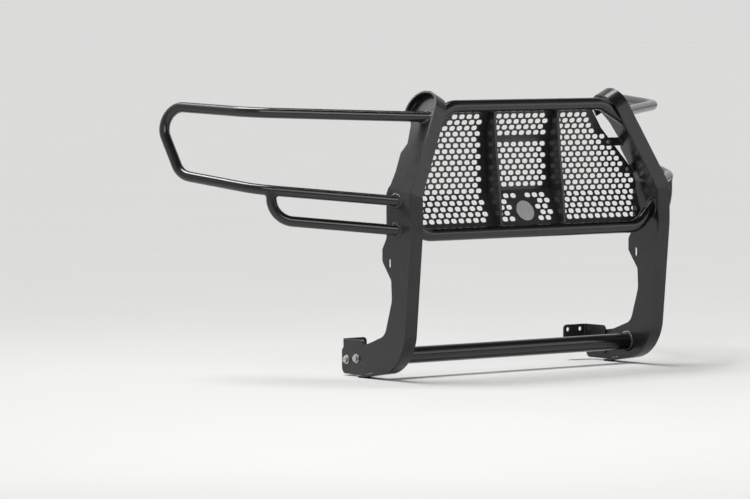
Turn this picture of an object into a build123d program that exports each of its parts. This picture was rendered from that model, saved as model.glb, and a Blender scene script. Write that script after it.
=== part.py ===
from build123d import *
import os
from math import asin, atan2, cos, hypot, radians, sin, sqrt, tan

# Front grille guard for a mid-size pickup, welded and bolted from plate and tube.
# Millimetres. X points to the vehicle's left, Y to the rear, Z up. While the pieces are
# built, Y = 0 is the front of the uprights and Z = 0 is near their lowest bend. At the end
# every piece is moved so that the origin is midway between the two flanges that bolt to the
# vehicle's frame, in the plane of their rear faces.

# ---------------------------------------------------------------- driving dimensions
# Uprights: a bent side plate with a flat bar welded along its front edge.
UPRIGHT_X = 481.0            # mid-plane of a side plate, from the centre
PLATE_T = 5.0
STRIP_W = 45.0
STRIP_T = 6.0
BEND_Z = 538.0               # height of the fold, at the front edge
BEND_SLOPE = 8.0             # degrees that the fold line rises to the rear
BEND_ANGLE = 27.4            # degrees that the upper section leans inward
UPPER_LEAN = 8.6             # degrees back, measured on the flat plate
TOP_Z = 871.0                # on the flat plate, before folding
TOP_REAR_Y = 173.0
TOP_RADIUS = 61.0
STRIP_END_Z = 795.0
FACE_BREAK_Z = 430.0         # below this the face leans back
TOE_Y, TOE_Z = 43.5, 16.1    # corner that the lower bend rounds off
TOE_RADIUS = 140.0
ARM_DROP = 8.0               # degrees that the bar under the arm drops to the rear
STRIP_REAR_Y = 266.0         # rear end of that bar; the plate runs on past it
ARM_END_Y, ARM_TOP_Z = 375.0, 70.0
SLOT_Y, SLOT_Z, SLOT_L, SLOT_W = 133.0, 334.0, 28.0, 12.0

# Cross tubes
TUBE_OD, TUBE_WALL = 38.1, 3.0
UPPER_TUBE_Y, UPPER_TUBE_Z = 78.0, 799.0
UPPER_TUBE_BEND_X, UPPER_TUBE_END_X, UPPER_TUBE_END_Z = 292.0, 392.0, 746.0
LOOP_Y, LOOP_Z = 54.0, 418.0
LOOP_BEND_X, LOOP_END_X, LOOP_END_Z = 416.0, 508.0, 504.0
CROSS_BEND_R = 75.0
BOTTOM_OD, BOTTOM_WALL = 50.8, 3.0
BOTTOM_Y, BOTTOM_Z = 175.0, 52.0

# Headlight loops and fog-lamp braces (right side, X negative)
WING_OD, WING_WALL = 31.8, 2.4
WING_ROUTE = [
    (-368.0, 91.0, 768.5),   # on the folded part of the side plate
    (-794.0, 406.0, 785.0),
    (-905.0, 761.0, 805.0),
    (-905.0, 616.0, 596.0),
    (-814.0, 355.0, 558.0),
    (-483.5, 97.0, 521.0),   # on the lower part of the side plate
]
WING_RADII = [170.0, 60.0, 75.0, 170.0]
BRACE_DROP = 87.0            # below the lower run of the loop
BRACE_RADIUS = 70.0
BRACE_REACH = 0.886          # share of the lower run that the brace follows

# Centre fins
FIN_X, FIN_T = 123.0, 9.5

# Perforated panels
SHEET_T = 3.0
HOLE_W, HOLE_H = 22.4, 13.6
PITCH_X, PITCH_Z = 28.0, 17.3
FIRST_ROW_Z, ROWS = 455.0, 19
HOLE_MARGIN = 5.0
OUTER_CREASES = (4.5, 15.5)  # in rows, so between two rows of holes
CENTRE_CREASES = (5, 14)     # rows left out for the creases of the centre panel
CREASE_Y = (119.0, 126.0)
BADGE_Z, BADGE_R, BADGE_T, BADGE_CLEAR = 478.0, 33.0, 2.5, 44.0

# Brackets to the vehicle's frame
BRACKET_T, BRACKET_GAP = 6.0, 0.5
BRACKET_FRONT_Y, BRACKET_LOW_Z = 276.0, 6.0
FLANGE_W, FLANGE_H = 90.0, 90.0
FRAME_PATTERN_X, FRAME_PATTERN_Z, FRAME_HOLE = 50.0, 60.0, 13.5
ARM_BOLTS = ((300.0, 40.0), (350.0, 34.0))
BOLT_D, BOLT_HOLE, ARM_SLOT_L = 12.0, 13.5, 24.0

# Tabs that hold the outer panels: X of each bolt and the row of holes that it lies on
TAB_BOLTS = ((434.0, 8), (360.0, 13))
TAB_W, TAB_T, TAB_BOLT_D = 26.0, 3.0, 6.0


# ---------------------------------------------------------------- helpers
def on_side(shape, side):
    """Pieces are drawn on the right, where X is negative, and mirrored for the left."""
    return shape if side == "right" else mirror(shape, about=Plane.YZ)


def on_both(shape):
    """The piece on the right and its mirror image, as one group."""
    return Compound(children=[*on_side(shape, "right").solids(), *on_side(shape, "left").solids()])


def tube(points, radii, od, wall):
    """A bent tube with open ends along straight runs and arcs."""
    path = FilletPolyline(*points, radius=radii) if radii else Line(*points)
    section = Plane(origin=path @ 0, z_dir=path % 0) * (Circle(od / 2) - Circle(od / 2 - wall))
    return sweep(section, path=path)


def rod(points, radii, od):
    """The solid of the same route, for coping other pieces against it."""
    path = FilletPolyline(*points, radius=radii) if radii else Line(*points)
    return sweep(Plane(origin=path @ 0, z_dir=path % 0) * Circle(od / 2), path=path)


def block_behind(point, outward, size=160):
    """A block on the back of the plane through a point, for trimming a tube's end there."""
    return Plane(origin=point, z_dir=outward) * Pos(0, 0, -size / 2) * Box(size, size, size)


def bar_on_x(x, y, z, diameter, length):
    """A cylinder along X that starts at x."""
    return Plane(origin=(x, y, z), z_dir=(1, 0, 0)) * extrude(Circle(diameter / 2), length)


def mitre(points, thickness):
    """A folded sheet's section: a polyline of the front face and its offset to the rear."""
    return make_face(offset(Polyline(*points), amount=thickness, side=Side.RIGHT,
                            kind=Kind.INTERSECTION).edges())


# ---------------------------------------------------------------- fold of the uprights
FOLD_POINT = Vector(-UPRIGHT_X, 0, BEND_Z)
SLOPE, ANGLE = radians(BEND_SLOPE), radians(BEND_ANGLE)
FOLD_AXIS = Axis(FOLD_POINT, (0, cos(SLOPE), sin(SLOPE)))
MITRE_PLANE = Plane(origin=FOLD_POINT, z_dir=(
    sin(ANGLE / 2), -sin(SLOPE) * cos(ANGLE / 2), cos(SLOPE) * cos(ANGLE / 2)))
UPPER_OUTWARD = Vector(-cos(ANGLE), -sin(SLOPE) * sin(ANGLE), cos(SLOPE) * sin(ANGLE))


def folded(face, thickness):
    """Thickens a flat YZ outline about the plate's mid-plane and folds its top inward."""
    flat = Pos(-UPRIGHT_X, 0, 0) * extrude(Plane.YZ * face, thickness / 2, both=True)
    lower = split(flat, bisect_by=MITRE_PLANE, keep=Keep.BOTTOM)
    upper = split(flat.rotate(FOLD_AXIS, BEND_ANGLE), bisect_by=MITRE_PLANE, keep=Keep.TOP)
    return lower + upper


def upper_face_point(y, z, offset_out):
    """The point (y, z) of a plane parallel to the upper plate, offset outward from it."""
    on_plane = FOLD_POINT + UPPER_OUTWARD * offset_out
    rest = (y - on_plane.Y) * UPPER_OUTWARD.Y + (z - on_plane.Z) * UPPER_OUTWARD.Z
    return Vector(on_plane.X - rest / UPPER_OUTWARD.X, y, z)


# ---------------------------------------------------------------- uprights
def lower_edge_z(y):
    """Underside of the bar below the arm."""
    return TOE_Z - (y - TOE_Y) * tan(radians(ARM_DROP))


def front_path():
    """Outer line of the flat bar on the flat plate, from its lower end to the top's rear."""
    top_y = (TOP_Z - BEND_Z) * tan(radians(UPPER_LEAN))
    points = [
        (STRIP_REAR_Y, lower_edge_z(STRIP_REAR_Y)),
        (TOE_Y, TOE_Z),
        (0, FACE_BREAK_Z),
        (0, BEND_Z),
        (top_y, TOP_Z),
        (TOP_REAR_Y, TOP_Z),
        (TOP_REAR_Y, STRIP_END_Z),
    ]
    return FilletPolyline(*points, radius=[TOE_RADIUS, 120, 60, TOP_RADIUS, TOP_RADIUS])


def rear_path():
    """Rear edge of the side plate, from the top's rear round the arm to the bar's lower end."""
    drop = radians(ARM_DROP)
    bar_end = (STRIP_REAR_Y, lower_edge_z(STRIP_REAR_Y))
    on_bar = (bar_end[0] + STRIP_T * sin(drop), bar_end[1] + STRIP_T * cos(drop))
    points = [
        (TOP_REAR_Y, STRIP_END_Z),
        (TOP_REAR_Y - STRIP_T, STRIP_END_Z),
        (146, 765),
        (129, 705),
        (143, 672),
        (133, 610),
        (133, 566),
        (147, 540),
        (147, 408),
        (168, 375),
        (168, 338),
        (125, 283),
        (122, 222),
        (158, 116),
        (240, 88),
        (ARM_END_Y, ARM_TOP_Z),
        (ARM_END_Y, on_bar[1]),
        on_bar,
        bar_end,
    ]
    radii = [0.5, 25, 12, 12, 30, 15, 8, 25, 12, 15, 15, 60, 42, 60, 15, 18, 0.5]
    return FilletPolyline(*points, radius=radii)


def side_profiles():
    """Flat outlines of the bar and of the plate behind it, on the YZ plane."""
    front = front_path()
    whole = make_face([*front.edges(), *rear_path().edges()])
    bar = make_face(offset(front, amount=STRIP_T, side=Side.RIGHT).edges())
    plate = whole - bar
    plate -= Pos(SLOT_Y, SLOT_Z) * SlotOverall(SLOT_L, SLOT_W, rotation=90)
    for y, z in ARM_BOLTS:
        plate -= Pos(y, z) * Circle(BOLT_HOLE / 2)
    return bar, plate


def upright():
    bar, plate = side_profiles()
    return {"face_strip": folded(bar, STRIP_W), "side_plate": folded(plate, PLATE_T)}


# ---------------------------------------------------------------- cross tubes
def cross_route(y, z, bend_x, end_x, end_z):
    return [(-end_x, y, end_z), (-bend_x, y, z), (bend_x, y, z), (end_x, y, end_z)]


UPPER_ROUTE = cross_route(UPPER_TUBE_Y, UPPER_TUBE_Z, UPPER_TUBE_BEND_X,
                          UPPER_TUBE_END_X, UPPER_TUBE_END_Z)
LOOP_ROUTE = cross_route(LOOP_Y, LOOP_Z, LOOP_BEND_X, LOOP_END_X, LOOP_END_Z)
INNER_FACE_X = -UPRIGHT_X + PLATE_T / 2
OUTER_FACE_X = -UPRIGHT_X - PLATE_T / 2


def trimmed_on_both(shape, point, outward):
    cutter = block_behind(point, outward)
    return shape - cutter - mirror(cutter, about=Plane.YZ)


def upper_cross_tube():
    bent = tube(UPPER_ROUTE, [CROSS_BEND_R] * 2, TUBE_OD, TUBE_WALL)
    face = upper_face_point(UPPER_TUBE_Y, 780, -PLATE_T / 2)
    return trimmed_on_both(bent, face, -UPPER_OUTWARD)


def lower_loop_tube():
    bent = tube(LOOP_ROUTE, [CROSS_BEND_R] * 2, TUBE_OD, TUBE_WALL)
    return trimmed_on_both(bent, (INNER_FACE_X, LOOP_Y, 470), (1, 0, 0))


def bottom_cross_tube():
    ends = [(INNER_FACE_X, BOTTOM_Y, BOTTOM_Z), (-INNER_FACE_X, BOTTOM_Y, BOTTOM_Z)]
    return tube(ends, None, BOTTOM_OD, BOTTOM_WALL)


# ---------------------------------------------------------------- headlight loops
def further(near, far, distance):
    """The point past `near` on the line from `far`, so that a tube's end can be trimmed."""
    near, far = Vector(*near), Vector(*far)
    return near + (near - far).normalized() * distance


def headlight_loop():
    first, last = WING_ROUTE[0], WING_ROUTE[-1]
    route = [further(first, WING_ROUTE[1], 30), *WING_ROUTE[1:-1],
             further(last, WING_ROUTE[-2], 30)]
    bent = tube(route, WING_RADII, WING_OD, WING_WALL)
    top_face = upper_face_point(first[1], first[2], PLATE_T / 2)
    bent -= block_behind(top_face, UPPER_OUTWARD)
    return bent - block_behind((OUTER_FACE_X, last[1], last[2]), (-1, 0, 0))


def loop_rod():
    return rod(WING_ROUTE, WING_RADII, WING_OD)


def fog_brace():
    """Runs below the loop's lower tube, then turns up and is coped against it."""
    drop = Vector(0, 0, -BRACE_DROP)
    end, corner = Vector(*WING_ROUTE[-1]), Vector(*WING_ROUTE[-2])
    turn = end + (corner - end) * BRACE_REACH
    route = [further(end + drop, turn + drop, 30), turn + drop, turn]
    bent = tube(route, [BRACE_RADIUS], WING_OD, WING_WALL)
    bent -= block_behind((OUTER_FACE_X, end.Y, end.Z - BRACE_DROP), (-1, 0, 0))
    pieces = (bent - loop_rod()).solids()
    return pieces.sort_by(SortBy.VOLUME)[-1]


# ---------------------------------------------------------------- centre fins
def centre_fin():
    front = [(47, 424), (53, 500), (61, 580), (71, 655), (75, 703), (80, 796)]
    rear = [(112, 796), (136, 703), (130, 541), (84, 430)]
    profile = make_face(Polyline(*front, *rear, close=True).edges())
    plate = Pos(-FIN_X, 0, 0) * extrude(Plane.YZ * profile, FIN_T / 2, both=True)
    plate -= bar_on_x(-FIN_X - FIN_T, UPPER_TUBE_Y, UPPER_TUBE_Z, TUBE_OD, 2 * FIN_T)
    plate -= bar_on_x(-FIN_X - FIN_T, LOOP_Y, LOOP_Z, TUBE_OD, 2 * FIN_T)
    return plate.solids().sort_by(SortBy.VOLUME)[-1]


# ---------------------------------------------------------------- perforated panels
def row_z(row):
    return FIRST_ROW_Z + PITCH_Z * row


def sheet_front(creases):
    """Front face of a panel in section: loop tube, two creases, back of the upper tube."""
    reach = TUBE_OD / 2
    bottom = (LOOP_Y + reach * cos(radians(45)), LOOP_Z + reach * sin(radians(45)))
    low, high = [(y, row_z(row)) for y, row in zip(CREASE_Y, creases)]
    to_tube = (UPPER_TUBE_Y - high[0], UPPER_TUBE_Z - high[1])
    distance = hypot(*to_tube)
    aim = atan2(to_tube[1], to_tube[0]) - asin((reach + 0.05) / distance)
    length = sqrt(distance**2 - reach**2)
    top = (high[0] + length * cos(aim), high[1] + length * sin(aim))
    return [bottom, low, high, top]


def inside(point, outline, margin):
    """Whether a point lies inside a convex outline, drawn anticlockwise, by a margin."""
    for (x0, z0), (x1, z1) in zip(outline, outline[1:] + outline[:1]):
        edge = hypot(x1 - x0, z1 - z0)
        if ((x1 - x0) * (point[1] - z0) - (z1 - z0) * (point[0] - x0)) / edge < margin:
            return False
    return True


def holes(outline, skipped_rows, keep_clear):
    """Obround holes in staggered rows, where they clear the outline and the keep-outs."""
    reach = (HOLE_W - HOLE_H) / 2
    for row in range(ROWS):
        if row in skipped_rows:
            continue
        shift = PITCH_X / 2 * (row % 2)
        for column in range(-18, 19):
            x, z = column * PITCH_X + shift, row_z(row)
            ends = [(x - reach, z), (x + reach, z)]
            if not all(inside(end, outline, HOLE_H / 2 + HOLE_MARGIN) for end in ends):
                continue
            if any(hypot(max(abs(x - cx) - reach, 0), z - cz) < clear + HOLE_H / 2
                   for cx, cz, clear in keep_clear):
                continue
            yield Pos(x, z) * SlotOverall(HOLE_W, HOLE_H)


def panel(outline, creases, skipped_rows, keep_clear, bolt_holes):
    """A perforated sheet: its flat pattern, cut through along Y from the folded sheet."""
    cuts = [slot.wire() for slot in holes(outline, skipped_rows, keep_clear)]
    cuts += [(Pos(x, z) * Circle(TAB_BOLT_D / 2 + 0.3)).wire() for x, z in bolt_holes]
    pattern = Face(Wire(Polyline(*outline, close=True).edges()), cuts)
    # On the XZ plane the normal is -Y, so the pattern is pushed back with a negative amount.
    punch = extrude(Plane.XZ * pattern, -220)
    low, high = min(x for x, _ in outline), max(x for x, _ in outline)
    section = Plane.YZ * mitre(sheet_front(creases), SHEET_T)
    sheet = Pos(low, 0, 0) * extrude(section, high - low)
    return sheet & punch


def outer_outline():
    edge = FIN_X + FIN_T / 2
    return [(edge, 415), (392, 415), (458, 466), (468, 552), (450, 598), (262, 799), (edge, 830)]


def outer_panel():
    """Drawn on the left, where X is positive."""
    tab_spots = [(x, row_z(row)) for x, row in TAB_BOLTS]
    keep_clear = [(x, z, 9) for x, z in tab_spots]
    sheet = panel(outer_outline(), OUTER_CREASES, (), keep_clear, tab_spots)
    sheet -= rod(LOOP_ROUTE, [CROSS_BEND_R] * 2, TUBE_OD + 0.2)
    return sheet.solids().sort_by(SortBy.VOLUME)[-1]


def centre_panel():
    edge = FIN_X - FIN_T / 2
    outline = [(-edge, 415), (edge, 415), (edge, 830), (-edge, 830)]
    return panel(outline, CENTRE_CREASES, CENTRE_CREASES, [(0, BADGE_Z, BADGE_CLEAR)], [])


def facet_plane(creases, part, x, z):
    """A plane on the front of a panel's facet at (x, z), with its normal to the front."""
    (y0, z0), (y1, z1) = sheet_front(creases)[part:part + 2]
    y = y0 + (y1 - y0) * (z - z0) / (z1 - z0)
    length = hypot(y1 - y0, z1 - z0)
    return Plane(origin=(x, y, z), x_dir=(1, 0, 0), z_dir=(0, -(z1 - z0) / length, (y1 - y0) / length))


def blank_badge():
    """A plain disc with a rounded edge, on the lower facet of the centre panel."""
    disc = extrude(Circle(BADGE_R), BADGE_T)
    disc = fillet(disc.edges().group_by(Axis.Z)[-1], 1.2)
    return facet_plane(CENTRE_CREASES, 0, 0, BADGE_Z) * disc


# ---------------------------------------------------------------- hardware
def hexagon(across, height):
    """A hexagonal prism above the local origin, its top corners turned off at 30 degrees."""
    corner, flat = across / sqrt(3), 0.475 * across
    fall = (corner - flat) * tan(radians(30))
    outline = [(0, 0), (corner, 0), (corner, height - fall), (flat, height), (0, height)]
    turned = revolve(Plane.XZ * make_face(Polyline(*outline, close=True).edges()), Axis.Z)
    return turned & extrude(RegularPolygon(across / 2, 6, major_radius=False), height)


def hex_bolt(diameter, across, head, length):
    """Head above the local origin, shank below it."""
    shank = Pos(0, 0, -length / 2) * Cylinder(diameter / 2, length)
    return hexagon(across, head) + chamfer(shank.edges().group_by(Axis.Z)[0], diameter * 0.08)


def hex_nut(diameter, across, height):
    """Above the local origin."""
    return hexagon(across, height) - Pos(0, 0, height / 2) * Cylinder(diameter / 2 + 0.1, height)


def washer(diameter, outer, thickness):
    """Above the local origin."""
    return extrude(Circle(outer / 2) - Circle(diameter / 2 + 0.3), thickness)


def stack(plane, grip, diameter, across, head, nut, washer_od, washer_t):
    """Bolt, two washers and nut through a grip; the plane lies on the head's side."""
    back = Pos(0, 0, -grip) * Rot(180, 0, 0)
    length = grip + 2 * washer_t + nut + diameter * 0.25
    ring = washer(diameter, washer_od, washer_t)
    return {
        "bolt": plane * Pos(0, 0, washer_t) * hex_bolt(diameter, across, head, length),
        "washer": Compound(children=[plane * ring, plane * back * ring]),
        "nut": plane * back * Pos(0, 0, washer_t) * hex_nut(diameter, across, nut),
    }


# ---------------------------------------------------------------- mesh tabs
def mesh_tabs():
    """Flat tabs from the side plate's inner face to the back of the outer panel (right)."""
    tabs = []
    for x, row in TAB_BOLTS:
        plane = facet_plane(OUTER_CREASES, 1, -x, row_z(row))
        reach = 90
        tab = plane * Pos(TAB_W / 2 - reach / 2, 0, -SHEET_T - TAB_T / 2) * Box(reach, TAB_W, TAB_T)
        tab = fillet(tab.edges().filter_by(lambda e: abs((e % 0).Y) > 0.9).group_by(Axis.X)[-1], 8)
        inner = upper_face_point(plane.origin.Y, plane.origin.Z, -PLATE_T / 2)
        tab -= block_behind(inner, -UPPER_OUTWARD)
        tab -= plane * Cylinder(TAB_BOLT_D / 2 + 0.3, 30)
        tabs.append(tab)
    return Compound(children=tabs)


def tab_hardware():
    stacks = []
    for x, row in TAB_BOLTS:
        plane = facet_plane(OUTER_CREASES, 1, -x, row_z(row))
        stacks.append(stack(plane, SHEET_T + TAB_T, TAB_BOLT_D, 10, 4, 5, 13, 1.2))
    return stacks


# ---------------------------------------------------------------- frame brackets
def frame_bracket():
    """A bent plate: one flange bolts to the arm, the other to the end of the frame rail."""
    inner_y = ARM_END_Y + BRACKET_GAP
    elbow = [(INNER_FACE_X, BRACKET_FRONT_Y), (INNER_FACE_X, inner_y + BRACKET_T),
             (INNER_FACE_X + FLANGE_W, inner_y + BRACKET_T)]
    line = FilletPolyline(*elbow, radius=BRACKET_T + 5)
    section = make_face(offset(line, amount=BRACKET_T, side=Side.RIGHT).edges())
    bent = Pos(0, 0, BRACKET_LOW_Z) * extrude(section, FLANGE_H)
    ends = bent.edges().filter_by(Axis.X).group_by(Axis.Y)[0]
    bent = fillet(ends, 14)
    ends = bent.edges().filter_by(Axis.Y).group_by(Axis.X)[-1]
    bent = fillet(ends, 12)
    for y, z in ARM_BOLTS:
        slot = SlotOverall(ARM_SLOT_L, BOLT_HOLE, rotation=90)
        face = Plane(origin=(INNER_FACE_X, y, z), x_dir=(0, 1, 0), z_dir=(1, 0, 0))
        bent -= face * extrude(slot, BRACKET_T)
    middle = (INNER_FACE_X + FLANGE_W / 2 + 4, BRACKET_LOW_Z + FLANGE_H / 2)
    for x in (-1, 1):
        for z in (-1, 1):
            centre = (middle[0] + x * FRAME_PATTERN_X / 2, inner_y,
                      middle[1] + z * FRAME_PATTERN_Z / 2)
            hole = extrude(Circle(FRAME_HOLE / 2), BRACKET_T)
            bent -= Plane(origin=centre, z_dir=(0, 1, 0)) * hole
    return bent


def arm_hardware():
    stacks = []
    for y, z in ARM_BOLTS:
        plane = Plane(origin=(OUTER_FACE_X, y, z), z_dir=(-1, 0, 0))
        stacks.append(stack(plane, PLATE_T + BRACKET_T, BOLT_D, 18, 7.5, 10.5, 28, 2.5))
    return stacks


# ---------------------------------------------------------------- assembly
def build():
    nodes = {}
    one_side = {
        **upright(),
        "headlight_loop": headlight_loop(),
        "fog_brace": fog_brace(),
        "centre_fin": centre_fin(),
        "mesh_panel": mirror(outer_panel(), about=Plane.YZ),
        "mesh_tabs": mesh_tabs(),
        "frame_bracket": frame_bracket(),
    }
    for name, shape in one_side.items():
        for side in ("right", "left"):
            nodes[f"{name}_{side}"] = on_side(shape, side)
    nodes["upper_cross_tube"] = upper_cross_tube()
    nodes["lower_loop_tube"] = lower_loop_tube()
    nodes["bottom_cross_tube"] = bottom_cross_tube()
    nodes["mesh_panel_centre"] = centre_panel()
    nodes["blank_badge"] = blank_badge()
    for place, stacks in (("tab", tab_hardware()), ("bracket", arm_hardware())):
        for kind in ("bolt", "washer", "nut"):
            group = Compound(children=[solid for item in stacks for solid in item[kind].solids()])
            nodes[f"{place}_{kind}s"] = on_both(group)
    return nodes


os.makedirs("parts", exist_ok=True)
pieces = build()
rear_face_y = ARM_END_Y + BRACKET_GAP + BRACKET_T
to_origin = Location((0, -rear_face_y, -(BRACKET_LOW_Z + FLANGE_H / 2)))
for name, shape in pieces.items():
    export_step(to_origin * shape, f"parts/{name}.step")
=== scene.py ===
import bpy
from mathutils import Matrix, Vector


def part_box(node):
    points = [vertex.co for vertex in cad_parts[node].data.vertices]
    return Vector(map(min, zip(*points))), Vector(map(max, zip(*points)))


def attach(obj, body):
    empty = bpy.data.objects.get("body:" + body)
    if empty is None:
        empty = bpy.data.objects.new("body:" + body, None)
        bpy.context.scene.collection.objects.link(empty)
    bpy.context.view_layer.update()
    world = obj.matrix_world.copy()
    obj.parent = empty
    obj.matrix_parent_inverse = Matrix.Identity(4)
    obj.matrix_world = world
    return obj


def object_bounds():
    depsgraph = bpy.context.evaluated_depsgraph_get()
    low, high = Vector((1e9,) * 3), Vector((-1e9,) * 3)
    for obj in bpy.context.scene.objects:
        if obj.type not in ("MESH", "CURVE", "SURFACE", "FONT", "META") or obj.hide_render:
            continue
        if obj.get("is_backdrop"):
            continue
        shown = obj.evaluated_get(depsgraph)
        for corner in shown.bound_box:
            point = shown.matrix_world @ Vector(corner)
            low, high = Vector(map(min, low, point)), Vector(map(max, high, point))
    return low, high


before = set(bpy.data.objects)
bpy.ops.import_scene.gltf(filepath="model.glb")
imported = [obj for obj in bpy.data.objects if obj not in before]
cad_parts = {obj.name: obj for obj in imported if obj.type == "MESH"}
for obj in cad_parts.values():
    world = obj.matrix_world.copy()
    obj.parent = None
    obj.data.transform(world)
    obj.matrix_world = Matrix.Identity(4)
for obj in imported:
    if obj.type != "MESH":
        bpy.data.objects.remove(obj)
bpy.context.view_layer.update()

from math import cos, pi, radians, sin, sqrt, tan

import bmesh
import bpy
from mathutils import Matrix, Vector

# Looks of the front grille guard: edges, weld beads, coats, floor, light and camera.
# The weld lines are worked out from the same driving dimensions as the CAD source, in its
# building millimetres, and at() puts them in the row frame.
ROW_Y, ROW_Z = -381.5, -51.0        # mm, from the CAD source's building frame to the row's


def at(point):
    """A point in the CAD source's building millimetres, in the row frame in metres."""
    return Vector((point[0], point[1] + ROW_Y, point[2] + ROW_Z)) / 1000


def unit(*xyz):
    return Vector(xyz).normalized()


# ---------------------------------------------------------------- dimensions, right side
HOLE_Z, HOLE_PITCH = 455, 17.3      # height of row 0, and from one row of holes to the next


def hole_row_z(row):
    """Height of a row of holes in the perforated panels."""
    return HOLE_Z + HOLE_PITCH * row


UPRIGHT_X, PLATE_T, STRIP_T, SHEET_T, TAB_T = 481.0, 5.0, 6.0, 3.0, 3.0
INNER_X, OUTER_X = -UPRIGHT_X + PLATE_T / 2, -UPRIGHT_X - PLATE_T / 2
SIDE_X = Vector((1, 0, 0))

# The side plate's upper part is folded inward about a sloping line.
FOLD_SLOPE, FOLD_ANGLE, FOLD_Z = radians(8.0), radians(27.4), 538
FOLD_POINT = Vector((-UPRIGHT_X, 0, FOLD_Z))
FOLD_DIR = Vector((0, cos(FOLD_SLOPE), sin(FOLD_SLOPE)))
FOLD_UP = Vector((0, -sin(FOLD_SLOPE), cos(FOLD_SLOPE)))      # across the fold, on the flat plate
UPPER_OUT = unit(-cos(FOLD_ANGLE), -sin(FOLD_SLOPE) * sin(FOLD_ANGLE),
                 cos(FOLD_SLOPE) * sin(FOLD_ANGLE))
UPPER_SPOT = (78, 780)              # (y, z) of a point on the folded part

# The flat bar's front line: the arm's end, the toe, the knee, the fold, the wrap at the top.
STRIP_LEAN, ARM_DROP = radians(8.6), radians(8.0)
ARM_END_Y, TOE_Y, TOE_Z, KNEE_Z = 266, 43.5, 16.1, 430
TOP_Z, WRAP_Y, WRAP_END_Z = 871, 173, 795
STRIP_RADII = [140, 120, 60, 61, 61]
STITCH, STITCH_PITCH, FIRST_STITCH = 36, 112, 14      # along the flat bar

# Cross tubes: (y, z) of the straight middles, where their ends bend off, and which way.
TUBE_R, BOTTOM_R = 19.05, 25.4
UPPER_AXIS, LOOP_AXIS = (78, 799), (54, 418)
UPPER_BEND, UPPER_END_RUN = Vector((-292, *UPPER_AXIS)), Vector((-100, 0, -53))
LOOP_BEND, LOOP_END_RUN = Vector((-416, *LOOP_AXIS)), Vector((-92, 0, 86))
BOTTOM_MIDDLE = Vector((0, 175, 52))

# The headlight loop is the wing: its top end, two of its corners and its lower end.
WING_R = 15.9
WING_TOP, WING_LAST = Vector((-368, 91, 768.5)), Vector((-483.5, 97, 521))
WING_NEXT, WING_CORNER = Vector((-794, 406, 785)), Vector((-814, 355, 558))
WING_RUN = WING_LAST - WING_CORNER
BRACE_DROP = Vector((0, 0, -87))    # from the wing's lower end to the brace's foot
BRACE_SHARE = 0.886                 # of the wing's lower run, where the brace meets it
BRACE_TOP = WING_LAST - WING_RUN * BRACE_SHARE

# Fins and panels: (y, z) of the panels' two creases and upper end, on their front faces.
FIN_X, FIN_HALF = 123.0, 4.75
PANEL_LOW, PANEL_MID, PANEL_HIGH = (119.0, hole_row_z(4.5)), (126.0, hole_row_z(15.5)), (97.0, 799.5)
TACK_HALF, TACK_PITCH = 8, 75
TAB_SPOTS, TAB_HALF = [(434.0, 8), (360.0, 13)], 13       # (distance from the middle, hole row)


def upper_face_point(y, z, offset_out):
    """The point (y, z) on a plane parallel to the folded part of the right side plate."""
    on_plane = FOLD_POINT + UPPER_OUT * offset_out
    rest = (y - on_plane.y) * UPPER_OUT.y + (z - on_plane.z) * UPPER_OUT.z
    return Vector((on_plane.x - rest / UPPER_OUT.x, y, z))


# ---------------------------------------------------------------- weld lines
# A weld line is the corner that two surfaces make: a list of (point, normal of the first
# surface, normal of the second), in building millimetres, and whether it closes.
AROUND, ARC_STEPS, STRAIGHT_STEPS = 96, 32, 8
ROUNDING_STEP = 4                   # mm


def tube_on_plane(start, direction, radius, point, normal):
    """Where a straight tube meets a flat face; the normal is on the tube's side."""
    d = direction.normalized()
    u = d.orthogonal().normalized()
    v = d.cross(u)
    line = []
    for i in range(AROUND):
        t = 2 * pi * i / AROUND
        radial = u * cos(t) + v * sin(t)
        on_tube = start + radial * radius
        on_tube += d * ((point - on_tube).dot(normal) / d.dot(normal))
        line.append((on_tube, normal, radial))
    return line, True


def saddle(centre, branch, run, radius):
    """Where a tube that comes along branch meets another of the same size along run."""
    b, l = branch.normalized(), run.normalized()
    u = (l - b * l.dot(b)).normalized()
    v = b.cross(u)
    line = []
    for i in range(AROUND):
        t = 2 * pi * i / AROUND
        radial = u * cos(t) + v * sin(t)
        # The distance back along the branch at which the point lies on the run's surface.
        q, k = radial * radius, b.dot(l)
        a2, a1 = 1 - k * k, -2 * (q.dot(b) - q.dot(l) * k)
        a0 = q.dot(q) - q.dot(l) ** 2 - radius * radius
        s = (-a1 + sqrt(max(a1 * a1 - 4 * a2 * a0, 0))) / (2 * a2)
        p = q - b * s
        line.append((centre + p, (p - l * p.dot(l)).normalized(), radial))
    return line, True


def arc_on_fin(side, centre, first, last):
    """Where a fin's side face meets a cross tube, from one angle to another."""
    line = []
    for i in range(ARC_STEPS + 1):
        t = radians(first + (last - first) * i / ARC_STEPS)
        radial = Vector((0, cos(t), sin(t)))
        p = Vector((-FIN_X + side * FIN_HALF, *centre)) + radial * TUBE_R
        line.append((p, radial, SIDE_X * side))
    return line, False


def straight(start, end, normal_1, normal_2):
    """A straight weld line, whose two surfaces are flat."""
    shares = [i / STRAIGHT_STEPS for i in range(STRAIGHT_STEPS + 1)]
    return [(start.lerp(end, share), normal_1, normal_2) for share in shares], False


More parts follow.
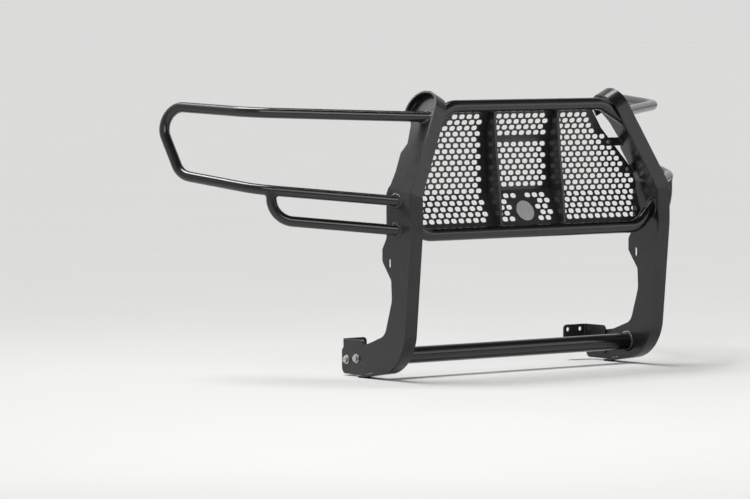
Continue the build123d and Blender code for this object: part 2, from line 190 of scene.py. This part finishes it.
def rounded(corners, radii):
    """Points along a polyline in the YZ plane whose inner corners are rounded off."""
    points = [Vector(corners[0])]
    for before, corner, after, radius in zip(corners, corners[1:], corners[2:], radii):
        corner = Vector(corner)
        back, ahead = (Vector(before) - corner).normalized(), (Vector(after) - corner).normalized()
        half = back.angle(ahead) / 2
        reach = radius / tan(half)
        centre = corner + (back + ahead).normalized() * (radius / sin(half))
        first, last = corner + back * reach - centre, corner + ahead * reach - centre
        turn = first.angle(last)
        steps = max(2, int(turn * radius / ROUNDING_STEP))
        for i in range(steps + 1):
            share = i / steps
            a, b = sin((1 - share) * turn) / sin(turn), sin(share * turn) / sin(turn)
            points.append(centre + first * a + last * b)
    return points + [Vector(corners[-1])]


def strip_back_line():
    """Rear face of the flat bar on the flat plate, from the arm to the top: (y, z, normal)."""
    arm_end_z = TOE_Z - (ARM_END_Y - TOE_Y) * tan(ARM_DROP)
    top_y = (TOP_Z - FOLD_Z) * tan(STRIP_LEAN)
    front = rounded([(ARM_END_Y, arm_end_z), (TOE_Y, TOE_Z), (0, KNEE_Z), (0, FOLD_Z),
                     (top_y, TOP_Z), (WRAP_Y, TOP_Z), (WRAP_Y, WRAP_END_Z)], STRIP_RADII)
    line = []
    for i, p in enumerate(front):
        a, b = front[max(i - 1, 0)], front[min(i + 1, len(front) - 1)]
        along = (b - a).normalized()
        normal = Vector((along.y, -along.x))
        line.append((p + normal * STRIP_T, normal))
    return line


def folded(y, z, off):
    """A point of the flat plate, off its mid-plane by off, after folding; and its turn."""
    flat = Vector((-UPRIGHT_X + off, y, z))
    rel = flat - FOLD_POINT
    up = rel.dot(FOLD_UP) - off * tan(FOLD_ANGLE / 2)
    if up < 0:
        return flat, Matrix.Identity(3)
    turn = Matrix.Rotation(FOLD_ANGLE, 3, FOLD_DIR)
    return FOLD_POINT + turn @ rel, turn


def strip_stitches(side):
    """Stitch welds behind the flat bar, on one side of the side plate."""
    line = strip_back_line()
    lengths = [0.0]
    for (a, _), (b, _) in zip(line, line[1:]):
        lengths.append(lengths[-1] + (b - a).length)
    # One point per millimetre, so that a stitch is a slice of the list.
    dense, s, i = [], 0.0, 0
    while s < lengths[-1]:
        while lengths[i + 1] < s:
            i += 1
        share = (s - lengths[i]) / (lengths[i + 1] - lengths[i])
        p, n = line[i][0].lerp(line[i + 1][0], share), line[i][1].lerp(line[i + 1][1], share)
        spot, turn = folded(p.x, p.y, side * PLATE_T / 2)
        dense.append((spot, turn @ Vector((0, *n.normalized())), turn @ (SIDE_X * side)))
        s += 1.0
    starts = range(FIRST_STITCH, len(dense) - STITCH, STITCH_PITCH)
    return [(dense[a:a + STITCH], False) for a in starts]


def panel_facets():
    """Front face of the outer panels in section, as (y, z) from the loop tube upward."""
    reach = TUBE_R * cos(radians(45))
    return [(LOOP_AXIS[0] + reach, LOOP_AXIS[1] + reach), PANEL_LOW, PANEL_MID, PANEL_HIGH]


def panel_tacks(side):
    """Short tacks behind the panels, along one face of a fin."""
    tacks = []
    for (y0, z0), (y1, z1) in zip(panel_facets(), panel_facets()[1:]):
        along = Vector((0, y1 - y0, z1 - z0))
        back = Vector((0, along.z, -along.y)).normalized()
        count = max(1, round(along.length / TACK_PITCH))
        for i in range(count):
            middle = Vector((-FIN_X + side * FIN_HALF, y0, z0)) + along * ((i + 0.5) / count)
            half, spot = along.normalized() * TACK_HALF, middle + back * SHEET_T
            tacks.append(straight(spot - half, spot + half, SIDE_X * side, back))
    return tacks


def tab_welds():
    """Both sides of each tab, where it meets the folded part of the side plate."""
    (y0, z0), (y1, z1) = PANEL_LOW, PANEL_MID
    along = unit(0, y1 - y0, z1 - z0)
    back = Vector((0, along.z, -along.y))
    inner = upper_face_point(*UPPER_SPOT, -PLATE_T / 2)
    lines = []
    for x, row in TAB_SPOTS:
        z = hole_row_z(row)
        bolt = Vector((-x, y0 + (y1 - y0) * (z - z0) / (z1 - z0), z))
        for depth, normal in ((SHEET_T, -back), (SHEET_T + TAB_T, back)):
            ends = []
            for half in (-TAB_HALF, TAB_HALF):
                spot = bolt + back * depth + along * half
                ends.append(spot - SIDE_X * ((spot - inner).dot(UPPER_OUT) / UPPER_OUT.x))
            lines.append(straight(*ends, -UPPER_OUT, normal))
    return lines


inner_point, outer_point = Vector((INNER_X, 0, 0)), Vector((OUTER_X, 0, 0))
WELDS = {
    # name: (weld lines on the right side, leg in mm, material slot)
    "weld_upper_tube": ([tube_on_plane(
        UPPER_BEND, UPPER_END_RUN, TUBE_R,
        upper_face_point(*UPPER_SPOT, -PLATE_T / 2), -UPPER_OUT)], 6.5, "tube_coat"),
    "weld_loop_tube": ([tube_on_plane(
        LOOP_BEND, LOOP_END_RUN, TUBE_R, inner_point, SIDE_X)], 7.0, "tube_coat"),
    "weld_bottom_tube": ([tube_on_plane(
        BOTTOM_MIDDLE, SIDE_X, BOTTOM_R, inner_point, SIDE_X)], 7.0, "tube_coat"),
    "weld_wing_top": ([tube_on_plane(
        WING_TOP, WING_NEXT - WING_TOP, WING_R,
        upper_face_point(WING_TOP.y, WING_TOP.z, PLATE_T / 2), UPPER_OUT)],
        6.5, "tube_coat"),
    "weld_wing_foot": ([tube_on_plane(
        WING_LAST, WING_RUN, WING_R, outer_point, -SIDE_X)], 7.0, "tube_coat"),
    "weld_brace_foot": ([tube_on_plane(
        WING_LAST + BRACE_DROP, WING_RUN, WING_R, outer_point, -SIDE_X)],
        7.0, "tube_coat"),
    "weld_brace_top": ([saddle(BRACE_TOP, Vector((0, 0, 1)), WING_RUN, WING_R)],
                       3.6, "tube_coat"),
    "weld_fin": ([arc_on_fin(side, UPPER_AXIS, -84, -6) for side in (-1, 1)]
                 + [arc_on_fin(side, LOOP_AXIS, 36, 106) for side in (-1, 1)],
                 4.0, "fin_coat"),
    "weld_strip": (strip_stitches(-1) + strip_stitches(1), 4.0, "upright_coat"),
    "weld_panel_tacks": (panel_tacks(-1) + panel_tacks(1), 2.4, "mesh_coat"),
    "weld_mesh_tabs": (tab_welds(), 3.0, "bracket_coat"),
}


# ---------------------------------------------------------------- weld beads
RIPPLE, RINGS_PER_RIPPLE, CROWN = 2.3, 6, 8     # mm along the bead, rings, faces across
BULGE = 0.17                        # of the leg, by which the crown stands out past a flat face
RIPPLE_BOW, RIPPLE_POWER = 0.55, 0.7            # how far a ripple bows, how narrow its valley is
VALLEY, RIPPLE_HEIGHT = 0.9, 0.17               # of the leg
SINK, ROOT_DEPTH = 0.4, 0.8                     # mm into the welded surfaces
END_SIZE, END_GROWTH, END_RIPPLES = 0.55, 0.45, 2      # an open bead's ends are smaller


def spaced(line, closed):
    """The weld line at even steps: (distance in ripples, point, two normals, tangent)."""
    loop = line + line[:1] if closed else line
    lengths = [0.0]
    for (a, _, _), (b, _, _) in zip(loop, loop[1:]):
        lengths.append(lengths[-1] + (b - a).length)
    ripples = max(3, round(lengths[-1] / RIPPLE))
    count = ripples * RINGS_PER_RIPPLE
    found, i = [], 0
    for k in range(count if closed else count + 1):
        s = lengths[-1] * k / count
        while i < len(lengths) - 2 and lengths[i + 1] < s:
            i += 1
        share = (s - lengths[i]) / max(lengths[i + 1] - lengths[i], 1e-9)
        (p, m, n), (q, m2, n2) = loop[i], loop[i + 1]
        found.append((k / RINGS_PER_RIPPLE, p.lerp(q, share), m.lerp(m2, share).normalized(),
                      n.lerp(n2, share).normalized(), (q - p).normalized()))
    return found


def ring_of(entry, leg, wobble):
    """One ring of a bead: a convex crown from one surface to the other, and a root."""
    phase, point, n1, n2, tangent = entry
    a, b = tangent.cross(n1).normalized(), tangent.cross(n2).normalized()
    a = a if a.dot(n2) > 0 else -a
    b = b if b.dot(n1) > 0 else -b
    flat = 1 - min(1.0, cos(a.angle(b) / 2) + BULGE)
    ring = []
    for k in range(CROWN + 1):
        share = k / CROWN
        crest = abs(sin(pi * (phase + RIPPLE_BOW * sin(pi * share)))) ** RIPPLE_POWER
        height = VALLEY + RIPPLE_HEIGHT * crest
        reach = leg * wobble * (1 - flat * sin(pi * share)) * height
        spot = point + (a * (1 - share) + b * share).normalized() * reach
        if k == 0:
            spot -= n1 * SINK
        if k == CROWN:
            spot -= n2 * SINK
        ring.append(spot)
    return ring + [point - (n1 + n2).normalized() * ROOT_DEPTH]


def unevenness(phase, count, leg):
    """Slow changes in a hand-made bead's size, as a share; count and leg tell beads apart."""
    return 1 + 0.045 * sin(phase * 0.71 + count) + 0.03 * sin(phase * 0.23 + leg)


def add_bead(mesh, line, closed, leg, mirror):
    """Adds a rippled bead along a weld line to the mesh."""
    entries = spaced(line, closed)
    rings = []
    for k, entry in enumerate(entries):
        wobble = unevenness(entry[0], len(entries), leg)
        if not closed:
            from_end = min(k, len(entries) - 1 - k) / (END_RIPPLES * RINGS_PER_RIPPLE)
            wobble *= END_SIZE + END_GROWTH * sin(pi / 2 * min(1.0, from_end))
        spots = [at((-p.x if mirror else p.x, p.y, p.z)) for p in ring_of(entry, leg, wobble)]
        rings.append([mesh.verts.new(spot) for spot in spots])
    pairs = list(zip(rings, rings[1:] + rings[:1])) if closed else list(zip(rings, rings[1:]))
    size = len(rings[0])
    for ring, after in pairs:
        for k in range(size):
            mesh.faces.new((ring[k], ring[(k + 1) % size], after[(k + 1) % size], after[k]))
    if not closed:
        mesh.faces.new(rings[0])
        mesh.faces.new(rings[-1])


def build_welds(name, lines, leg, slot_name):
    """One piece of beads on each side of the guard."""
    for side in ("right", "left"):
        mesh = bmesh.new()
        for line, closed in lines:
            add_bead(mesh, line, closed, leg, side == "left")
        bmesh.ops.recalc_face_normals(mesh, faces=mesh.faces)
        data = bpy.data.meshes.new(f"{name}_{side}")
        mesh.to_mesh(data)
        mesh.free()
        data.polygons.foreach_set("use_smooth", [True] * len(data.polygons))
        piece = bpy.data.objects.new(f"{name}_{side}", data)
        bpy.context.scene.collection.objects.link(piece)
        data.materials.append(MATERIALS[slot_name])
        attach(piece, "root")


# ---------------------------------------------------------------- materials
class Nodes:
    """Short calls for a material's node tree."""

    def __init__(self, name):
        self.material = bpy.data.materials.new(name)
        self.material.use_nodes = True
        self.tree = self.material.node_tree
        self.shader = self.tree.nodes["Principled BSDF"]
        self.coords = self.add("ShaderNodeTexCoord").outputs["Object"]

    def add(self, kind, **values):
        node = self.tree.nodes.new(kind)
        for key, value in values.items():
            setattr(node, key, value)
        return node

    def link(self, output, socket):
        self.tree.links.new(output, socket)

    def noise(self, per_metre, detail=2.0, roughness=0.5, vector=None):
        node = self.add("ShaderNodeTexNoise")
        node.inputs["Scale"].default_value = per_metre
        node.inputs["Detail"].default_value = detail
        node.inputs["Roughness"].default_value = roughness
        self.link(vector or self.coords, node.inputs["Vector"])
        return node.outputs["Fac"]

    def ranged(self, value, low, high, from_low=0.3, from_high=0.7):
        node = self.add("ShaderNodeMapRange")
        for socket, number in zip(node.inputs[1:5], (from_low, from_high, low, high)):
            socket.default_value = number
        self.link(value, node.inputs["Value"])
        return node.outputs["Result"]

    def blend(self, share, colour_a, colour_b):
        node = self.add("ShaderNodeMix", data_type="RGBA")
        for socket, colour in zip([s for s in node.inputs if s.type == "RGBA"],
                                  (colour_a, colour_b)):
            socket.default_value = (*colour, 1)
        self.link(share, node.inputs["Factor"])
        return [s for s in node.outputs if s.type == "RGBA"][0]

    def bump(self, height, strength, distance, previous=None):
        node = self.add("ShaderNodeBump")
        node.inputs["Strength"].default_value = strength
        node.inputs["Distance"].default_value = distance
        self.link(height, node.inputs["Height"])
        if previous:
            self.link(previous, node.inputs["Normal"])
        return node.outputs["Normal"]

    def finish(self, colour, roughness, normal, **constants):
        self.link(colour, self.shader.inputs["Base Color"])
        self.link(roughness, self.shader.inputs["Roughness"])
        self.link(normal, self.shader.inputs["Normal"])
        for key, value in constants.items():
            self.shader.inputs[key.replace("_", " ")].default_value = value
        return self.material


def powder_coat(name, dark, light, gloss, peel, ior=1.45, clear=0.2):
    """Satin black powder coat: orange peel, faint mottling and uneven gloss.

    gloss is the lowest and the highest roughness, and peel is the strength of the bump.
    """
    n = Nodes(name)
    mottle = n.ranged(n.noise(14, detail=4, roughness=0.6), 0, 1)
    colour = n.blend(mottle, dark, light)
    rough = n.ranged(n.noise(38, detail=5, roughness=0.62), *gloss)
    orange_peel = n.bump(n.noise(420, roughness=0.45), peel, distance=0.00012)
    grain = n.bump(n.noise(1500), 0.3 * peel, distance=0.00003, previous=orange_peel)
    return n.finish(colour, rough, grain, IOR=ior, Coat_Weight=clear, Coat_Roughness=0.14)


def zinc(name):
    """Bright zinc plate with faint yellow and blue clouds, and a fine grain."""
    n = Nodes(name)
    cloud = n.ranged(n.noise(160, detail=4), 0, 1)
    colour = n.blend(cloud, (0.46, 0.47, 0.50), (0.60, 0.58, 0.52))
    rough = n.ranged(n.noise(520, detail=4, roughness=0.65), 0.24, 0.46)
    grain = n.bump(n.noise(1900, detail=4, roughness=0.7), 0.25, distance=0.00004)
    return n.finish(colour, rough, grain, Metallic=1.0)


def satin_metal(name, node):
    """Satin metal turned in fine rings about the middle of a disc."""
    low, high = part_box(node)
    n = Nodes(name)
    offset = n.add("ShaderNodeVectorMath", operation="SUBTRACT")
    offset.inputs[1].default_value = (low + high) / 2
    n.link(n.coords, offset.inputs[0])
    radius = n.add("ShaderNodeVectorMath", operation="LENGTH")
    n.link(offset.outputs["Vector"], radius.inputs[0])
    rings = n.add("ShaderNodeCombineXYZ")
    n.link(radius.outputs["Value"], rings.inputs["X"])
    turned = n.noise(2600, detail=3, roughness=0.6, vector=rings.outputs["Vector"])
    cloud = n.ranged(n.noise(90, detail=3), 0, 1)
    colour = n.blend(cloud, (0.56, 0.56, 0.57), (0.66, 0.66, 0.67))
    rough = n.ranged(turned, 0.30, 0.46)
    grooves = n.bump(turned, 0.2, distance=0.00004)
    return n.finish(colour, rough, grooves, Metallic=0.85)


MATERIALS = {
    "upright_coat": powder_coat(
        "powder_coat_plate", dark=(0.007, 0.007, 0.008), light=(0.012, 0.012, 0.013),
        gloss=(0.25, 0.36), peel=0.22),
    "tube_coat": powder_coat(
        "powder_coat_tube", dark=(0.005, 0.005, 0.006), light=(0.009, 0.009, 0.010),
        gloss=(0.17, 0.27), peel=0.18, ior=1.5, clear=0.3),
    "fin_coat": powder_coat(
        "powder_coat_fin", dark=(0.010, 0.010, 0.011), light=(0.016, 0.016, 0.017),
        gloss=(0.27, 0.38), peel=0.22),
    # Same black powder coat as the plates, but its dark and light tones are painted lighter: a
    # painted sheen that stands in for the reflections that make the mesh look grey.
    "mesh_coat": powder_coat(
        "powder_coat_mesh_painted_sheen", dark=(0.014, 0.014, 0.015), light=(0.022, 0.022, 0.023),
        gloss=(0.30, 0.44), peel=0.26),
    "bracket_coat": powder_coat(
        "powder_coat_bracket", dark=(0.011, 0.011, 0.012), light=(0.019, 0.019, 0.019),
        gloss=(0.32, 0.46), peel=0.30),
    "zinc_hardware": zinc("zinc_plate"),
    "badge_finish": satin_metal("badge_satin", "blank_badge"),
}
# The material slot of each CAD node, by how its name begins; the first that fits counts.
SLOT_OF = {
    "face_strip": "upright_coat", "side_plate": "upright_coat",
    "upper_cross_tube": "tube_coat", "lower_loop_tube": "tube_coat",
    "bottom_cross_tube": "tube_coat", "headlight_loop": "tube_coat",
    "fog_brace": "tube_coat", "centre_fin": "fin_coat", "mesh_panel": "mesh_coat",
    "frame_bracket": "bracket_coat", "mesh_tabs": "bracket_coat",
    "blank_badge": "badge_finish", "bracket_": "zinc_hardware", "tab_": "zinc_hardware",
}
# Edge radius in metres, by how a name begins; tubes and panels keep their CAD surface.
EDGE_RADIUS = {
    "face_strip": 0.0009, "side_plate": 0.0007, "centre_fin": 0.0010,
    "frame_bracket": 0.0008, "mesh_tabs": 0.0004, "bracket_": 0.0003, "tab_": 0.0002,
}


def value_for(name, table):
    """The table's value for the first prefix that the name begins with, or None."""
    for prefix, value in table.items():
        if name.startswith(prefix):
            return value
    return None


# ---------------------------------------------------------------- edges of the CAD nodes
JOIN_WITHIN = 0.00001               # metres
FLAT_WITHIN, EDGE_OVER = radians(0.4), radians(38)
EDGE_SEGMENTS, FACE_WEIGHT = 2, 60


def joining_group():
    """Joins the CAD faces at their shared edges and shades them smooth."""
    group = bpy.data.node_groups.new("joined_faces", "GeometryNodeTree")
    for way in ("INPUT", "OUTPUT"):
        group.interface.new_socket("Geometry", in_out=way, socket_type="NodeSocketGeometry")
    first, last = group.nodes.new("NodeGroupInput"), group.nodes.new("NodeGroupOutput")
    merge = group.nodes.new("GeometryNodeMergeByDistance")
    merge.inputs["Distance"].default_value = JOIN_WITHIN
    shade = group.nodes.new("GeometryNodeSetShadeSmooth")
    group.links.new(first.outputs[0], merge.inputs["Geometry"])
    group.links.new(merge.outputs[0], shade.inputs[0])
    group.links.new(shade.outputs[0], last.inputs[0])
    return group


def soften_edges(node, width, group):
    """A small radius on the plate's edges, as a thick coat leaves."""
    node.modifiers.new("joined", "NODES").node_group = group
    flat = node.modifiers.new("planar", "DECIMATE")
    flat.decimate_type, flat.angle_limit = "DISSOLVE", FLAT_WITHIN
    bevel = node.modifiers.new("edge", "BEVEL")
    bevel.width, bevel.segments, bevel.limit_method = width, EDGE_SEGMENTS, "ANGLE"
    bevel.angle_limit, bevel.use_clamp_overlap = EDGE_OVER, True
    normals = node.modifiers.new("normals", "WEIGHTED_NORMAL")
    normals.mode, normals.weight, normals.keep_sharp = "FACE_AREA", FACE_WEIGHT, False


joined_faces = joining_group()
for name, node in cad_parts.items():
    slot_name = value_for(name, SLOT_OF)
    node.data.materials.clear()
    node.data.materials.append(MATERIALS[slot_name])
    edge = value_for(name, EDGE_RADIUS)
    if edge:
        soften_edges(node, edge, joined_faces)
for name, (lines, leg, slot_name) in WELDS.items():
    build_welds(name, lines, leg, slot_name)


# ---------------------------------------------------------------- floor, light and camera
FLOOR_HALF = 400.0                  # metres
FLOOR_TONE = (0.68, 0.68, 0.67)
BACKDROP = (0.706, 0.706, 0.700)    # what the camera sees past the floor's far edge
# The sky's light by height: (sine of the elevation, share of its full strength).
SKY_STOPS = ((-1.0, 0.10), (-0.02, 0.20), (0.03, 0.40), (0.14, 1.0), (0.60, 0.90),
             (0.74, 0.07), (1.0, 0.05))
GUARD_MIDDLE = (0, -0.2, 0.45)


def floor():
    """A wide, plain, pale floor at the guard's lowest point."""
    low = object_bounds()[0].z
    data = bpy.data.meshes.new("floor")
    corners = [(x * FLOOR_HALF, y * FLOOR_HALF, low)
               for x, y in ((-1, -1), (1, -1), (1, 1), (-1, 1))]
    data.from_pydata(corners, [], [(0, 1, 2, 3)])
    n = Nodes("floor_paint")
    cloud = n.ranged(n.noise(1.3, detail=3), 0, 1)
    tone = n.blend(cloud, tuple(0.985 * c for c in FLOOR_TONE), FLOOR_TONE)
    rough = n.ranged(n.noise(9, detail=3), 0.85, 0.95)
    grain = n.bump(n.noise(60, detail=3), 0.05, distance=0.0005)
    data.materials.append(n.finish(tone, rough, grain, Specular_IOR_Level=0.0))
    piece = bpy.data.objects.new("floor", data)
    bpy.context.scene.collection.objects.link(piece)
    piece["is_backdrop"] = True


def sky(front, back):
    """Soft light all round, brightest between 8 and 37 degrees up and dark overhead.

    Its strength runs from front, before the guard, to back, behind it. The camera sees the
    plain backdrop instead.
    """
    world = bpy.data.worlds.new("studio")
    bpy.context.scene.world = world
    world.use_nodes = True
    tree = world.node_tree
    tree.nodes.clear()
    coords = tree.nodes.new("ShaderNodeTexCoord")
    split = tree.nodes.new("ShaderNodeSeparateXYZ")
    tree.links.new(coords.outputs["Generated"], split.inputs[0])
    height = tree.nodes.new("ShaderNodeMapRange")
    height.inputs["From Min"].default_value = -1
    tree.links.new(split.outputs["Z"], height.inputs["Value"])
    ramp = tree.nodes.new("ShaderNodeValToRGB")
    ramp.color_ramp.interpolation = "EASE"
    while len(ramp.color_ramp.elements) < len(SKY_STOPS):
        ramp.color_ramp.elements.new(0.5)
    for element, (z, grey) in zip(ramp.color_ramp.elements, SKY_STOPS):
        element.position = (z + 1) / 2
        element.color = (grey, grey, grey, 1)
    tree.links.new(height.outputs["Result"], ramp.inputs["Fac"])
    across = tree.nodes.new("ShaderNodeMapRange")
    for socket, number in zip(across.inputs[1:5], (-1.0, 1.0, front, back)):
        socket.default_value = number
    tree.links.new(split.outputs["Y"], across.inputs["Value"])
    level = tree.nodes.new("ShaderNodeMath")
    level.operation = "MULTIPLY"
    tree.links.new(ramp.outputs["Color"], level.inputs[0])
    tree.links.new(across.outputs["Result"], level.inputs[1])
    light = tree.nodes.new("ShaderNodeBackground")
    tree.links.new(level.outputs[0], light.inputs["Strength"])
    plain = tree.nodes.new("ShaderNodeBackground")
    plain.inputs["Color"].default_value = (*BACKDROP, 1)
    path = tree.nodes.new("ShaderNodeLightPath")
    mix = tree.nodes.new("ShaderNodeMixShader")
    tree.links.new(path.outputs["Is Camera Ray"], mix.inputs["Fac"])
    tree.links.new(light.outputs[0], mix.inputs[1])
    tree.links.new(plain.outputs[0], mix.inputs[2])
    out = tree.nodes.new("ShaderNodeOutputWorld")
    tree.links.new(mix.outputs[0], out.inputs["Surface"])


def softbox(name, place, size, radiance):
    """A rectangular area light of one brightness, turned to the guard."""
    data = bpy.data.lights.new(name, "AREA")
    data.shape, data.size, data.size_y = "RECTANGLE", size[0], size[1]
    data.energy = radiance * pi * size[0] * size[1]
    lamp = bpy.data.objects.new(name, data)
    lamp.location = place
    ahead = Vector(GUARD_MIDDLE) - lamp.location
    lamp.rotation_euler = ahead.to_track_quat("-Z", "Y").to_euler()
    lamp.visible_camera = False
    bpy.context.scene.collection.objects.link(lamp)


def top_light(strength, azimuth, elevation, spread):
    """Even soft light from high up, which lights the whole floor alike; angles in degrees."""
    a, e = radians(azimuth), radians(elevation)
    data = bpy.data.lights.new("top_light", "SUN")
    data.energy, data.angle = strength, radians(spread)
    lamp = bpy.data.objects.new("top_light", data)
    away = Vector((-sin(a) * cos(e), cos(a) * cos(e), -sin(e)))
    lamp.rotation_euler = away.to_track_quat("-Z", "Y").to_euler()
    bpy.context.scene.collection.objects.link(lamp)


def camera():
    """From the guard's front right and a little above, with a long lens."""
    turn, tilt, roll = radians(36.73), radians(3.05), radians(-0.30)
    distance, target = 11670.34, Vector((-636.12, 0, 386.13))      # building millimetres
    level = Vector((sin(turn), cos(turn), 0))
    across = Vector((cos(turn), -sin(turn), 0))
    ahead = level * cos(tilt) - Vector((0, 0, sin(tilt)))
    up = Vector((0, 0, cos(tilt))) + level * sin(tilt)
    right = across * cos(roll) + up * sin(roll)
    above = up * cos(roll) - across * sin(roll)
    data = bpy.data.cameras.new("camera")
    data.sensor_width, data.lens = 36.0, 191.35
    data.clip_start, data.clip_end = 0.1, 2000.0
    piece = bpy.data.objects.new("camera", data)
    place = Matrix((right, above, -ahead)).transposed().to_4x4()
    place.translation = at(target - ahead * distance)
    piece.matrix_world = place
    bpy.context.scene.collection.objects.link(piece)
    bpy.context.scene.camera = piece


floor()
sky(front=0.22, back=1.1)
softbox("front_left", place=(1.60, -2.45, 1.10), size=(2.0, 1.2), radiance=1.1)
softbox("front_right_high", place=(-2.20, -2.30, 2.45), size=(2.2, 1.7), radiance=2.8)
softbox("back_right", place=(-1.10, 0.90, 2.00), size=(1.1, 0.8), radiance=2.8)
top_light(strength=2.7, azimuth=200, elevation=72, spread=30)
camera()
bpy.context.scene.view_settings.view_transform = "Standard"
